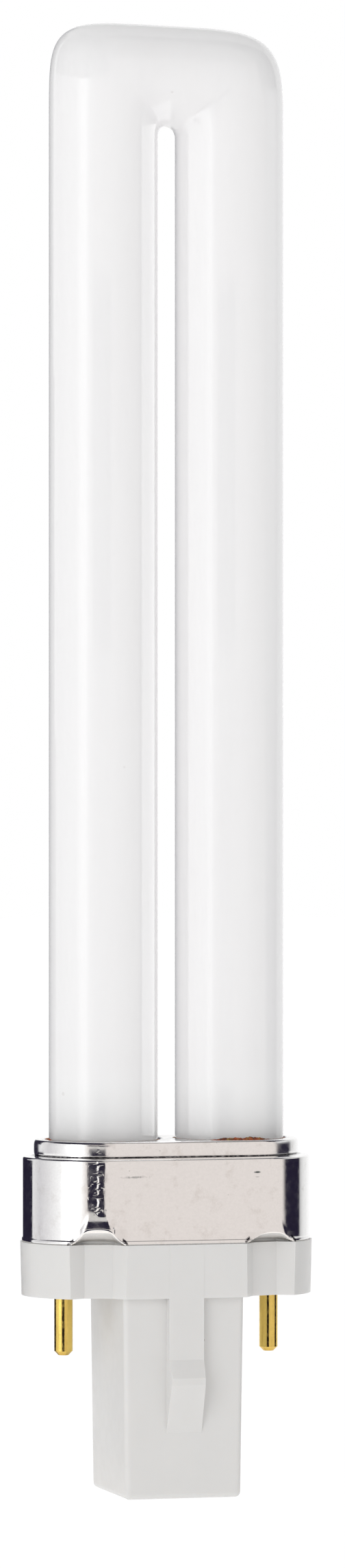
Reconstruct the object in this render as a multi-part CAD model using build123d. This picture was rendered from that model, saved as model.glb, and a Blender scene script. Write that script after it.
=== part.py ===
from build123d import *
import math
import os

# Twin-leg compact fluorescent lamp with a two-pin cap. Millimetres, +Z up towards the bend.
# The origin is the middle of the flange's underside, where the cap seats on its lampholder.
# X runs through the two pins, and the front of the lamp faces -Y.

# Glass
LEG_DIAMETER = 11.8
SLIT_WIDTH = 2.3
BEND_TOP = 137.2  # seating plane to the middle of the bend's crown
BRIDGE_HEIGHT = 10.9  # glass above the slit's round end
CROWN_TILT = 0.33  # rise of the crown towards the left leg
LEFT_SHOULDER_SQUARENESS = 5.7  # 2 is round, more is squarer
RIGHT_SHOULDER_SQUARENESS = 4.4
MITRE_SHARPNESS = 14.0  # of the fold between a leg and the bridge
BEND_STEPS = 24
FOOT_DEPTH = 6.0  # full-round glass below the collar's top
FOOT_TAPER = 4.6  # cone below it, down to the press
PRESS_WIDTH = 8.0
PRESS_THICKNESS = 2.4
PRESS_LENGTH = 3.2
ELECTRODE_SPREAD = 4.4  # between the two leads of one leg

# Collar
LIP_MARGIN = 1.38  # lip wall outside the glass, at the front and back
LIP_END_MARGIN = 0.35  # the same at the ends, on top of LIP_MARGIN
LIP_HEIGHT = 1.9
LEDGE_WIDTH = 1.1
COLLAR_WALL_HEIGHT = 9.1
COLLAR_SHEET = 0.35
COLLAR_EDGE_RADIUS = 0.6
LIP_FOOT_RADIUS = 0.35
HEM_HEIGHT = 0.4
HEM_STEP = 0.1
GLASS_HOLE_CLEARANCE = 0.3
CRIMP_HEIGHT = 2.4

# Basing cement
CEMENT_DEPTH = 4.0  # below the lip's top sheet
SQUEEZE_OUT = 0.5  # how far the visible crescent stands out from the glass
SQUEEZE_OUT_RADIUS = 4.3  # of the crescent's outer arc
SQUEEZE_OUT_HEIGHT = 0.35
SQUEEZE_OUT_ANGLES = {"left": 172.0, "right": 268.0}  # from +X, seen from above

# Base moulding
FLANGE_HEIGHT = 5.75
FLANGE_FLOOR = 2.2
FLANGE_OVERHANG = 0.27  # beyond the collar
FLANGE_DRAFT = 1.3  # degrees
NOTCH_ANGLE = 74.0  # from +X, about the end centre
NOTCH_DEPTH = 1.97
NOTCH_FLOOR_WIDTH = 3.0
NOTCH_FLANK = 48.0  # degrees from the notch's own axis
HOUSING_WALL = 1.6
SPIGOT_HEIGHT = 4.5
SPIGOT_CLEARANCE = 0.05
POST_WIDTH = 13.4
POST_SETBACK = 1.2  # post face behind the flange
POST_LENGTH = 21.6
POST_DRAFT = 0.7  # degrees
POST_EDGE_RADIUS = 0.6
POST_WALL = 1.4
POST_FLOOR = 1.4

# Latch rib on each wide face of the post
RIB_WIDTH = 3.8
RIB_PROUD = 0.04  # of the flange
RIB_DRAFT = 3.0  # degrees
LATCH_REACH = 0.85  # ridge beyond the rib
LATCH_START = 6.6  # depths below the seating plane
LATCH_RIDGE = 8.5
LATCH_LAND = 0.75
LATCH_END = 14.75

# Pins
PIN_SPACING = 23.0
PIN_DIAMETER = 2.0
PIN_LENGTH = 6.5
PIN_TIP_CHAMFER = 0.45
PIN_SEAT_DIAMETER = 2.4  # in the flange's floor
PIN_HEAD_DIAMETER = 3.4
PIN_HEAD_THICKNESS = 0.7
PIN_HOLE_CLEARANCE = 0.05
PIN_WIRE_BORE_DEPTH = 3.0
PIN_HEAD_CLEARANCE = 0.3

# Starter gear in the post
GEAR_CLEARANCE = 0.3
STARTER_DIAMETER = 5.6
STARTER_LENGTH = 12.0
STARTER_END_TAPER = 1.4
STARTER_PRESS_LENGTH = 2.5
STARTER_PRESS_THICKNESS = 1.6
STARTER_LEAD_SPREAD = 2.2
CAPACITOR_WIDTH = 7.0
CAPACITOR_THICKNESS = 3.2
CAPACITOR_HEIGHT = 8.0
CAPACITOR_EDGE_RADIUS = 0.9
CAPACITOR_LEAD_SPREAD = 4.4
CAPACITOR_LEAD_DROP = 2.0  # junction above the starter's press
LEAD_DIAMETER = 0.6
LEAD_BEND_RADIUS = 0.9
LEAD_STUB = 1.2  # straight wire at each end
WIRE_BORE_CLEARANCE = 0.1

# Places worked out from the sizes above
leg_radius = LEG_DIAMETER / 2
leg_x = (LEG_DIAMETER + SLIT_WIDTH) / 2
slit_end_z = BEND_TOP - BRIDGE_HEIGHT
pivot_z = slit_end_z - SLIT_WIDTH / 2
bend_half_width = leg_x + leg_radius
bend_rise = BEND_TOP - pivot_z

lip_radius = leg_radius + LIP_MARGIN
collar_radius = lip_radius + LEDGE_WIDTH
flange_radius = collar_radius + FLANGE_OVERHANG
pin_x = PIN_SPACING / 2
pin_room = PIN_HEAD_DIAMETER / 2 + PIN_HEAD_CLEARANCE + HOUSING_WALL
end_centre = max(leg_x + LIP_END_MARGIN, pin_x + pin_room - flange_radius)

ledge_z = FLANGE_HEIGHT + COLLAR_WALL_HEIGHT
collar_top = ledge_z + LIP_HEIGHT
foot_z = collar_top - FOOT_DEPTH
press_z = foot_z - PRESS_LENGTH

flange_foot_radius = flange_radius - FLANGE_HEIGHT * math.tan(math.radians(FLANGE_DRAFT))
post_depth = 2 * (flange_radius - POST_SETBACK)
post_draft_inset = POST_LENGTH * math.tan(math.radians(POST_DRAFT))
gear_floor_z = POST_FLOOR - POST_LENGTH
gear_half_depth = post_depth / 2 - post_draft_inset - POST_WALL - GEAR_CLEARANCE
starter_y = gear_half_depth - STARTER_DIAMETER / 2
capacitor_y = CAPACITOR_THICKNESS / 2 - gear_half_depth
starter_top = gear_floor_z + STARTER_LENGTH + STARTER_PRESS_LENGTH
capacitor_top = gear_floor_z + CAPACITOR_HEIGHT
pin_head_top = FLANGE_FLOOR + PIN_HEAD_THICKNESS

FROM_BELOW = (Align.CENTER, Align.CENTER, Align.MIN)
FROM_ABOVE = (Align.CENTER, Align.CENTER, Align.MAX)
SIDES = {"left": -1, "right": 1}


def stadium(radius, z):
    """Outline with two round ends about the shared end centres, at one height."""
    return Plane.XY.offset(z) * SlotCenterToCenter(2 * end_centre, 2 * radius)


def upright(radius, bottom, top, x=0.0, y=0.0):
    """Round upright bar between two heights."""
    return Pos(x, y, bottom) * Cylinder(radius, top - bottom, align=FROM_BELOW)


def rim(solid):
    """The edges of a solid's top face."""
    return solid.faces().sort_by(Axis.Z)[-1].edges()


# Notches and crimps


def notch_profile(grow, z):
    """Trapezoid of one notch in plan, grown outwards on every side, at the front-right end centre."""
    angle = math.radians(NOTCH_ANGLE)
    outward = Vector(math.cos(angle), math.sin(angle), 0)
    floor = flange_radius - NOTCH_DEPTH
    reach = 2 * NOTCH_DEPTH
    half_floor = NOTCH_FLOOR_WIDTH / 2
    half_mouth = half_floor + reach * math.tan(math.radians(NOTCH_FLANK))
    corners = [
        (-half_floor, floor),
        (half_floor, floor),
        (half_mouth, floor + reach),
        (-half_mouth, floor + reach),
    ]
    across = Vector(outward.Y, -outward.X, 0)
    plane = Plane(origin=(end_centre, 0, z), x_dir=across, z_dir=(0, 0, 1))
    profile = plane * Polygon(*corners, align=None)
    if grow > 0:
        profile = offset(profile, grow, kind=Kind.INTERSECTION)
    return profile, outward


def at_four_corners(tool):
    """The tool and its mirror images about both upright middle planes."""
    pair = [tool, mirror(tool, about=Plane.YZ)]
    return pair + [mirror(one, about=Plane.XZ) for one in pair]


def straight_notches(grow, bottom, top):
    """Upright notch tools, grown by a wall."""
    profile, _ = notch_profile(grow, bottom)
    return at_four_corners(extrude(profile, top - bottom))


def crimp_notches(grow):
    """Notch tools that lean out until they leave the collar's wall at the crimp's height."""
    profile, outward = notch_profile(FLANGE_OVERHANG + grow, FLANGE_HEIGHT)
    lean = outward * NOTCH_DEPTH + Vector(0, 0, CRIMP_HEIGHT)
    return at_four_corners(extrude(profile, 1.5 * lean.length, dir=lean.normalized()))


# Glass


def bend_section(angle):
    """Section of the bend in the plane through the slit's end, at an angle up from the right leg."""
    across = abs(math.cos(math.radians(angle)))
    up = math.sin(math.radians(angle))
    squareness = RIGHT_SHOULDER_SQUARENESS if angle < 90 else LEFT_SHOULDER_SQUARENESS
    bridge_axis = bend_rise - BRIDGE_HEIGHT / 2
    tilted_rise = bend_rise - CROWN_TILT * math.cos(math.radians(angle))
    outer = (across / bend_half_width) ** squareness + (up / tilted_rise) ** squareness
    middle = (across / leg_x) ** MITRE_SHARPNESS + (up / bridge_axis) ** MITRE_SHARPNESS
    outer_reach = outer ** (-1 / squareness)
    middle_reach = middle ** (-1 / MITRE_SHARPNESS)
    direction = (math.cos(math.radians(angle)), 0, up)
    travel = (-up, 0, math.cos(math.radians(angle)))
    plane = Plane(origin=(0, 0, pivot_z), x_dir=direction, z_dir=travel)
    centre = (middle_reach, 0)
    inner_half = EllipticalCenterArc(centre, middle_reach - SLIT_WIDTH / 2, leg_radius, 90, arc_size=180)
    outer_half = EllipticalCenterArc(centre, outer_reach - middle_reach, leg_radius, -90, arc_size=180)
    return plane * make_face([inner_half, outer_half])


def make_discharge_tube():
    bend = loft([bend_section(180 * step / BEND_STEPS) for step in range(BEND_STEPS + 1)])
    tube = bend
    for side in SIDES.values():
        leg = upright(leg_radius, foot_z, pivot_z, x=side * leg_x)
        leg = chamfer(leg.edges().group_by(Axis.Z)[0], FOOT_TAPER)
        press = Box(PRESS_WIDTH, PRESS_THICKNESS, FOOT_TAPER + PRESS_LENGTH, align=FROM_BELOW)
        tube = tube + leg + Pos(side * leg_x, 0, press_z) * press
    return tube


# Collar and cement


def collar_steps(inset):
    """Main wall and lip as nested blocks, set in by a sheet's thickness on every side but the open foot."""
    wall = extrude(stadium(collar_radius - inset, FLANGE_HEIGHT), COLLAR_WALL_HEIGHT - inset)
    lip = extrude(stadium(lip_radius - inset, FLANGE_HEIGHT), collar_top - FLANGE_HEIGHT - inset)
    return wall, lip


def make_collar():
    hem = extrude(stadium(collar_radius + HEM_STEP, FLANGE_HEIGHT), HEM_HEIGHT)
    wall, lip = (fillet(rim(step), COLLAR_EDGE_RADIUS) for step in collar_steps(0))
    inner_wall, inner_lip = collar_steps(COLLAR_SHEET)
    outside = wall + lip
    lip_foot = outside.edges().filter_by_position(Axis.Z, ledge_z, ledge_z).group_by(Axis.Z)[-1]
    outside = fillet(lip_foot, LIP_FOOT_RADIUS) + hem - crimp_notches(0)
    inside = inner_wall + inner_lip - crimp_notches(COLLAR_SHEET)
    collar = outside - inside
    hole_radius = leg_radius + GLASS_HOLE_CLEARANCE
    for side in SIDES.values():
        collar -= upright(hole_radius, ledge_z, collar_top + COLLAR_SHEET, x=side * leg_x)
    return collar


def make_basing_cement():
    sheet_z = collar_top - COLLAR_SHEET
    inner_wall, inner_lip = collar_steps(COLLAR_SHEET)
    cement = inner_wall + inner_lip - Pos(0, 0, sheet_z - CEMENT_DEPTH) * Box(
        4 * bend_half_width, 4 * collar_radius, 2 * COLLAR_WALL_HEIGHT, align=FROM_ABOVE
    )
    for name, side in SIDES.items():
        angle = math.radians(SQUEEZE_OUT_ANGLES[name])
        reach = leg_radius + SQUEEZE_OUT - SQUEEZE_OUT_RADIUS
        crescent_x = side * leg_x + reach * math.cos(angle)
        crescent_y = reach * math.sin(angle)
        crescent_top = collar_top + SQUEEZE_OUT_HEIGHT
        crescent = upright(SQUEEZE_OUT_RADIUS, collar_top, crescent_top, crescent_x, crescent_y)
        cement += upright(leg_radius + GLASS_HOLE_CLEARANCE, sheet_z - COLLAR_SHEET, collar_top, side * leg_x)
        cement += crescent
    for side in SIDES.values():
        cement -= upright(leg_radius, foot_z, collar_top + 2 * SQUEEZE_OUT_HEIGHT, side * leg_x)
    return cement


# Base moulding


def make_rib():
    """Latch rib on the front: up the flange, down the post, then a ridge that ramps back to the post."""
    root = post_depth / 2 - post_draft_inset
    face = flange_foot_radius + RIB_PROUD
    ridge = face + LATCH_REACH
    side_view = [
        (-root, FLANGE_HEIGHT),
        (-flange_radius - RIB_PROUD, FLANGE_HEIGHT),
        (-face, 0),
        (-face, -LATCH_START),
        (-ridge, -LATCH_RIDGE),
        (-ridge, -LATCH_RIDGE - LATCH_LAND),
        (-root, -LATCH_END),
    ]
    flank = math.tan(math.radians(RIB_DRAFT))
    half_root = RIB_WIDTH / 2 + (face - root) * flank
    half_ridge = RIB_WIDTH / 2 - LATCH_REACH * flank
    plan = [(-half_ridge, -ridge), (half_ridge, -ridge), (half_root, -root), (-half_root, -root)]
    rib = extrude(Plane.YZ * Polygon(*side_view, align=None), RIB_WIDTH, both=True)
    column = extrude(Plane.XY.offset(-LATCH_END) * Polygon(*plan, align=None), LATCH_END + FLANGE_HEIGHT)
    return rib & column


def post_block(width, depth, bottom, top):
    """Rectangular block that narrows downwards with the post's draft, from a size at the seating plane."""
    slope = math.tan(math.radians(POST_DRAFT))
    widen = 2 * slope * top
    outline = Plane.XY.offset(top) * Rectangle(width + widen, depth + widen)
    return extrude(outline, top - bottom, dir=(0, 0, -1), taper=POST_DRAFT)


def make_base_housing():
    spigot_radius = collar_radius - COLLAR_SHEET - SPIGOT_CLEARANCE
    spigot_top = FLANGE_HEIGHT + SPIGOT_HEIGHT
    flange = extrude(stadium(flange_foot_radius, 0), FLANGE_HEIGHT, taper=-FLANGE_DRAFT)
    flange -= straight_notches(0, 0, FLANGE_HEIGHT)
    spigot = extrude(stadium(spigot_radius, FLANGE_HEIGHT), SPIGOT_HEIGHT)
    spigot -= crimp_notches(COLLAR_SHEET + SPIGOT_CLEARANCE)

    post = post_block(POST_WIDTH, post_depth, -POST_LENGTH, FLANGE_FLOOR)
    bottom_edges, side_edges, _ = post.edges().group_by(Axis.Z)
    post = fillet(bottom_edges + side_edges, POST_EDGE_RADIUS)
    rib = make_rib()
    housing = flange + spigot + post + rib + mirror(rib, about=Plane.XZ)

    cavity = extrude(stadium(flange_radius - HOUSING_WALL, FLANGE_FLOOR), spigot_top - FLANGE_FLOOR)
    cavity -= straight_notches(HOUSING_WALL, FLANGE_FLOOR, spigot_top)
    housing -= cavity
    housing -= post_block(POST_WIDTH - 2 * POST_WALL, post_depth - 2 * POST_WALL, gear_floor_z, FLANGE_FLOOR)
    for side in SIDES.values():
        housing -= upright(PIN_SEAT_DIAMETER / 2 + PIN_HOLE_CLEARANCE, 0, FLANGE_FLOOR, side * pin_x)
    return housing


# Pins, starter gear and leads


def make_pin(side):
    shank = upright(PIN_DIAMETER / 2, -PIN_LENGTH, 0, side * pin_x)
    shank = chamfer(shank.edges().group_by(Axis.Z)[0], PIN_TIP_CHAMFER)
    seat = upright(PIN_SEAT_DIAMETER / 2, 0, FLANGE_FLOOR, side * pin_x)
    head = upright(PIN_HEAD_DIAMETER / 2, FLANGE_FLOOR, pin_head_top, side * pin_x)
    bore_radius = LEAD_DIAMETER / 2 + WIRE_BORE_CLEARANCE
    bore = upright(bore_radius, pin_head_top - PIN_WIRE_BORE_DEPTH, pin_head_top, side * pin_x)
    return shank + seat + head - bore


def make_starter_bulb():
    bottle = upright(STARTER_DIAMETER / 2, gear_floor_z, gear_floor_z + STARTER_LENGTH, y=starter_y)
    bottle = chamfer(bottle.edges().filter_by(GeomType.CIRCLE), STARTER_END_TAPER)
    press = Box(
        2 * STARTER_LEAD_SPREAD,
        STARTER_PRESS_THICKNESS,
        STARTER_PRESS_LENGTH + STARTER_END_TAPER,
        align=FROM_ABOVE,
    )
    return bottle + Pos(0, starter_y, starter_top) * press


def wire(points):
    """Round lead wire along straight runs with rounded bends."""
    route = FilletPolyline(*points, radius=LEAD_BEND_RADIUS)
    return sweep((route ^ 0) * Circle(LEAD_DIAMETER / 2), path=route)


def make_pin_lead(side):
    start_x = side * (leg_x + ELECTRODE_SPREAD / 2)
    bottom = pin_head_top - PIN_WIRE_BORE_DEPTH
    return wire(
        [
            (start_x, 0, press_z),
            (start_x, 0, press_z - LEAD_STUB),
            (side * pin_x, 0, pin_head_top + LEAD_STUB),
            (side * pin_x, 0, bottom),
        ]
    )


def make_starter_lead(side):
    start_x = side * (leg_x - ELECTRODE_SPREAD / 2)
    end_x = side * STARTER_LEAD_SPREAD / 2
    return wire(
        [
            (start_x, 0, press_z),
            (start_x, 0, press_z - LEAD_STUB),
            (end_x, starter_y, starter_top + 2 * CAPACITOR_LEAD_DROP),
            (end_x, starter_y, starter_top),
        ]
    )


def make_capacitor(starter_leads):
    """Film capacitor whose two straight leads run up to the starter's leads."""
    body = Pos(0, capacitor_y, gear_floor_z) * Box(
        CAPACITOR_WIDTH, CAPACITOR_THICKNESS, CAPACITOR_HEIGHT, align=FROM_BELOW
    )
    capacitor = fillet(body.edges().filter_by(Axis.Z), CAPACITOR_EDGE_RADIUS)
    junction_z = starter_top + CAPACITOR_LEAD_DROP
    for side, starter_lead in zip(SIDES.values(), starter_leads):
        root = (side * CAPACITOR_LEAD_SPREAD / 2, capacitor_y, capacitor_top - LEAD_DIAMETER)
        junction = (side * STARTER_LEAD_SPREAD / 2, starter_y, junction_z)
        route = Line(root, junction)
        capacitor += sweep((route ^ 0) * Circle(LEAD_DIAMETER / 2), path=route) - starter_lead
    return capacitor


os.makedirs("parts", exist_ok=True)
starter_leads = [make_starter_lead(side) for side in SIDES.values()]
nodes = {
    "discharge_tube": make_discharge_tube(),
    "collar": make_collar(),
    "basing_cement": make_basing_cement(),
    "base_housing": make_base_housing(),
    "starter_bulb": make_starter_bulb(),
    "capacitor": make_capacitor(starter_leads),
}
for name, starter_lead in zip(SIDES, starter_leads):
    nodes["lead_starter_" + name] = starter_lead
for name, side in SIDES.items():
    nodes["pin_" + name] = make_pin(side)
    nodes["lead_pin_" + name] = make_pin_lead(side)
for name, solid in nodes.items():
    export_step(solid, f"parts/{name}.step")
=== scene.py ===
import math

import bmesh
import bpy
import numpy as np
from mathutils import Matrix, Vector


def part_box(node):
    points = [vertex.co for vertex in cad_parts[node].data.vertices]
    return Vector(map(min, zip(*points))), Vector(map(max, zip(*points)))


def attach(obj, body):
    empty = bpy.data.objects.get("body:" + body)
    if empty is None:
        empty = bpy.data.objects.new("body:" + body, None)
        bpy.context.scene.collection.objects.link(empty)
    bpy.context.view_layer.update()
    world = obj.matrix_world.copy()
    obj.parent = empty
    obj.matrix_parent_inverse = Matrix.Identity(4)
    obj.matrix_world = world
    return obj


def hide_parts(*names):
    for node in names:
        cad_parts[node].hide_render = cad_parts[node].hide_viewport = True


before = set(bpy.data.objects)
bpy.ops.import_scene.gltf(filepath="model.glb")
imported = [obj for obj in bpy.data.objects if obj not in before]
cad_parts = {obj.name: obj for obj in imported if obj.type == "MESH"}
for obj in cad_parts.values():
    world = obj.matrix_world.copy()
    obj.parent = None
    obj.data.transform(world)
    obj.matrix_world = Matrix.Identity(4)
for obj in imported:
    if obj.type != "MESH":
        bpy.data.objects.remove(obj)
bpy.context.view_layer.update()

# Looks of a twin-leg compact fluorescent lamp. Shapes are in millimetres until a mesh is made of them.
MM = 0.001
SIDES = (-1, 1)

# Glass, as in the frame's loft
SLIT_WIDTH = 2.3
BEND_TOP = 137.199
BRIDGE_HEIGHT = 10.9
CROWN_TILT = 0.33
SHOULDER_SQUARENESS = {"left": 5.7, "right": 4.4}
MITRE_SHARPNESS = 14.0
FOOT_DEPTH = 6.0
FOOT_TAPER = 4.6
PRESS_HALF_WIDTH = 4.0
PRESS_HALF_THICKNESS = 1.2
PRESS_SHARP_ANGLE = math.radians(60)
GLASS_AROUND = 112
BEND_RINGS = 240
LEG_RINGS = 40
TAPER_RINGS = 14

# Collar
LIP_HEIGHT = 1.76
LIP_ROUNDING = 0.45
LIP_SQUARENESS = {"top": 3.2, "foot": 4.5}
LIP_TUCK = math.radians(-55)
LIP_RINGS = 21
LEDGE_WIDTH = 1.2
LEDGE_DROP = 0.1
LEDGE_RING_SHARES = (0.1, 0.5, 0.9)
EDGE_RADIUS = 0.25
EDGE_RINGS = 9
CRIMPED_WALL_HEIGHT = 3.8
CRIMPED_WALL_RINGS = 36
PLAIN_WALL_RINGS = 5
PLAIN_WALL_END_GAP = 0.04
SHEET = 0.35
HEM_HEIGHT = 0.4
HEM_STEP = 0.1
HEM_STEP_SHARES = (1, 0.5, 0)
GLASS_HOLE_CLEARANCE = 0.3
GLASS_HOLE_POINTS = 128
RIM_TOLERANCE = 0.01
COLLAR_AROUND = 600

# Crimps of the collar, and the bulge of the sheet above each
NOTCH_ANGLE = math.radians(74)
NOTCH_DEPTH = 1.97
# Height, bulge above it and strength of the buckled metal at each crimp, by its corner
CRIMPS = {
    (-1, -1): (1.75, 0.286, 1.0),
    (1, -1): (1.2, 0.03, 0.25),
    (-1, 1): (1.7, 0.1, 0.5),
    (1, 1): (1.6, 0.12, 0.6),
}
CRIMP_FOLD = 1.25
CRIMP_SOFTNESS = 0.2
CRIMP_CORNER = 0.3
CRIMP_RIM_RISE = 0.3
CRIMP_HALF_WIDTH = 1.95
CRIMP_TAPER = 0.65
CRIMP_FLANK = math.radians(31.5)
BULGE_HEIGHT = 2.2
BULGE_CURVE = 2
BULGE_HALF_WIDTH = 0.85
BULGE_FLARE = 0.75
BULGE_SOFTNESS = 0.4

# Marks that the crimping leaves on the sheet, and painted shade along a line at the end of each crimp's
# flanks
PRESSED_HALF_WIDTH = CRIMP_HALF_WIDTH + 1
PRESSED_FALLOFF = 8
PRESSED_START = 0.1
PRESSED_FULL_DEPTH = NOTCH_DEPTH / 3
# Place and width of the painted shade line at the end of each crimp's flanks
CREASE_FOOT = 3.25
CREASE_TOP = 2.6
CREASE_HEIGHT = 0.6
CREASE_LIFT = 0.1
CREASE_WIDTH = 0.2
CREASE_SOFTNESS = 0.08
BUCKLE_HALF_WIDTH = 1.3
BUCKLE_EDGE = 0.05
BUCKLE_FOOT = 2.8
BUCKLE_FADE = 0.9
BUCKLE_TOP_SHARE = 1.02
BUCKLE_TOP_FADE = 0.1
LIP_BUCKLE = 0.35
FAR_AWAY = 9.0

# Cement squeezed out round each leg: degrees from +X, then how far it stands out and up
BEADS = {-1: ((150, 190), 0.5, 0.1), 1: ((227, 312), 0.42, 0.3)}
BEAD_POINTS = 160
BEAD_SECTION_POINTS = 12
BEAD_ROOT = 0.15
BEAD_END_SHARE = 0.002
BEAD_SWELL = 1.3
BEAD_RISE_STRETCH = 1.7
# Turns, start and size of the waves that make a bead ragged
BEAD_WAVES = ((9, 0.4, 0.2), (23, 1.9, 0.14), (57, 0.7, 0.09), (101, 2.6, 0.06))
CEMENT_DEPTH = 4
CEMENT_GAP = 0.02
PLUG_AROUND = 160
PLUG_SHARP_ANGLE = math.radians(35)

# Camera
IMAGE_WIDTH = 504
IMAGE_HEIGHT = 2289
CAMERA_YAW = math.radians(15.02)
CAMERA_DISTANCE = 725
CAMERA_HEIGHT = 55.1
PIXELS_PER_MM = 13.475
LAMP_AXIS_COLUMN = 243
SENSOR = 36


def box_mm(node):
    """Lowest and highest corners of a node in millimetres."""
    return [np.array(corner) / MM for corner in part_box(node)]


# Sizes taken from the frame
tube_low, tube_high = box_mm("discharge_tube")
collar_low, collar_high = box_mm("collar")
table_z = box_mm("base_housing")[0][2]
leg_radius = tube_high[1]
leg_x = leg_radius + SLIT_WIDTH / 2
slit_end_z = BEND_TOP - BRIDGE_HEIGHT
pivot_z = slit_end_z - SLIT_WIDTH / 2
press_z = tube_low[2]
collar_foot, collar_top = collar_low[2], collar_high[2]
foot_z = collar_top - FOOT_DEPTH
collar_radius = collar_high[1] - HEM_STEP
lip_radius = collar_radius - LEDGE_WIDTH
end_centre = collar_high[0] - collar_high[1]
lip_foot_z = collar_top - LIP_HEIGHT
ledge_z = lip_foot_z - LEDGE_DROP


# Meshes


def place(name, data):
    """An object in the scene that shows a mesh, a lamp or a camera."""
    thing = bpy.data.objects.new(name, data)
    bpy.context.scene.collection.objects.link(thing)
    return thing


def new_piece(mesh, material):
    """A piece of the lamp in its finish, which rides on the lamp's one body."""
    mesh.materials.append(material)
    piece = place(mesh.name, mesh)
    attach(piece, "root")
    return piece


def smooth_mesh(name, points, faces):
    """A smooth mesh from points in millimetres, with its faces turned outwards."""
    mesh = bpy.data.meshes.new(name)
    mesh.from_pydata([tuple(p) for p in np.asarray(points) * MM], [], faces)
    shape = bmesh.new()
    shape.from_mesh(mesh)
    bmesh.ops.recalc_face_normals(shape, faces=shape.faces)
    shape.to_mesh(mesh)
    shape.free()
    mesh.shade_smooth()
    return mesh


def ring_faces(rings, around):
    """Quads between successive closed rings of points."""
    faces = []
    for ring in range(rings - 1):
        low, high = ring * around, (ring + 1) * around
        for column in range(around):
            following = (column + 1) % around
            faces.append((low + column, low + following, high + following, high + column))
    return faces


def capped_skin(rings):
    """Points and faces of a skin over successive rings, with a flat cap on each end."""
    points = np.concatenate(rings)
    around = len(rings[0])
    faces = ring_faces(len(rings), around)
    faces.append(tuple(range(around)))
    faces.append(tuple(range(len(points) - around, len(points))))
    return points, faces


def closed_pairs(corners):
    """Each corner of a closed loop with the next."""
    return zip(corners, corners[1:] + corners[:1])


def closed_loop(shape, points):
    """New corners at points in millimetres, and the edges that close them into a loop."""
    corners = [shape.verts.new(point * MM) for point in points]
    return corners, [shape.edges.new(pair) for pair in closed_pairs(corners)]


def arc(centre, radius, start, end, steps):
    """Points of an arc in a profile plane, by angles in degrees."""
    turns = np.radians(np.linspace(start, end, steps))
    return [(centre[0] + radius * math.cos(t), centre[1] + radius * math.sin(t)) for t in turns]


def circle(centre_x, radius, count, z):
    """Points of a level circle about a leg's axis."""
    turns = np.linspace(0, 2 * math.pi, count, endpoint=False)
    return np.stack([centre_x + radius * np.cos(turns), radius * np.sin(turns), np.full(count, z)], axis=1)


def smooth(value):
    """Smooth step of a value from 0 to 1."""
    share = np.clip(value, 0, 1)
    return share * share * (3 - 2 * share)


def soft_minimum(first, second, softness):
    """Lesser of two values, rounded off where they cross."""
    share = np.clip(0.5 + 0.5 * (second - first) / softness, 0, 1)
    return second + (first - second) * share - softness * share * (1 - share)


# Glass


def glass_ring(centre, outward, outer_axis, inner_axis, depth_axis):
    """Section of the tube: two half ellipses that meet at the front and back."""
    turns = np.linspace(0, 2 * math.pi, GLASS_AROUND, endpoint=False)
    along = np.where(np.cos(turns) > 0, outer_axis, inner_axis) * np.cos(turns)
    ring = np.outer(along, outward)
    ring[:, 1] += depth_axis * np.sin(turns)
    return ring + centre


def bend_ring(angle):
    """Section of the bend at an angle up from the right leg, about the slit's round end."""
    across, up = abs(math.cos(angle)), math.sin(angle)
    squareness = SHOULDER_SQUARENESS["right" if angle < math.pi / 2 else "left"]
    rise = BEND_TOP - pivot_z
    tilted_rise = rise - CROWN_TILT * math.cos(angle)
    half_width = leg_x + leg_radius
    bridge_axis = rise - BRIDGE_HEIGHT / 2
    outer = ((across / half_width) ** squareness + (up / tilted_rise) ** squareness) ** (-1 / squareness)
    middle = (across / leg_x) ** MITRE_SHARPNESS + (up / bridge_axis) ** MITRE_SHARPNESS
    middle = middle ** (-1 / MITRE_SHARPNESS)
    outward = np.array((math.cos(angle), 0, up))
    centre = np.array((0, 0, pivot_z)) + middle * outward
    return glass_ring(centre, outward, outer - middle, middle - SLIT_WIDTH / 2, leg_radius)


def leg_rings(side):
    """Sections of one leg from its press up to the bend."""
    taper_top = foot_z + FOOT_TAPER
    taper = np.linspace(foot_z, taper_top, TAPER_RINGS)
    straight = np.linspace(taper_top, pivot_z, LEG_RINGS)[1:-1]
    outward = np.array((side, 0, 0))
    rings = []
    for z in (press_z, *taper, *straight):
        share = smooth((z - foot_z) / FOOT_TAPER)
        across = PRESS_HALF_WIDTH + share * (leg_radius - PRESS_HALF_WIDTH)
        depth = PRESS_HALF_THICKNESS + share * (leg_radius - PRESS_HALF_THICKNESS)
        centre = np.array((side * leg_x, 0, z))
        rings.append(glass_ring(centre, outward, across, across, depth))
    return rings


def make_discharge_tube():
    """U-bent glass from the press of one leg round to the press of the other."""
    bend = [bend_ring(angle) for angle in np.linspace(math.pi, 0, BEND_RINGS)]
    rings = leg_rings(-1) + bend + leg_rings(1)[::-1]
    mesh = smooth_mesh("glass_tube", *capped_skin(rings))
    mesh.set_sharp_from_angle(angle=PRESS_SHARP_ANGLE)
    tube = new_piece(mesh, opal_glass())
    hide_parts("discharge_tube")


# Collar


def stadium(count):
    """Middle-line points and outward directions round the collar, evenly spaced along its wall."""
    straight = 2 * end_centre
    turn = math.pi * collar_radius
    middles, outwards = [], []
    for along in np.linspace(0, 2 * (straight + turn), count, endpoint=False):
        half, along = divmod(along, straight + turn)
        facing = -1 if half == 0 else 1
        angle = max(along - straight, 0) / collar_radius
        middles.append((facing * (min(along, straight) - end_centre), 0, 0))
        outwards.append((facing * math.sin(angle), facing * math.cos(angle), 0))
    return np.array(middles), np.array(outwards)


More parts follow.
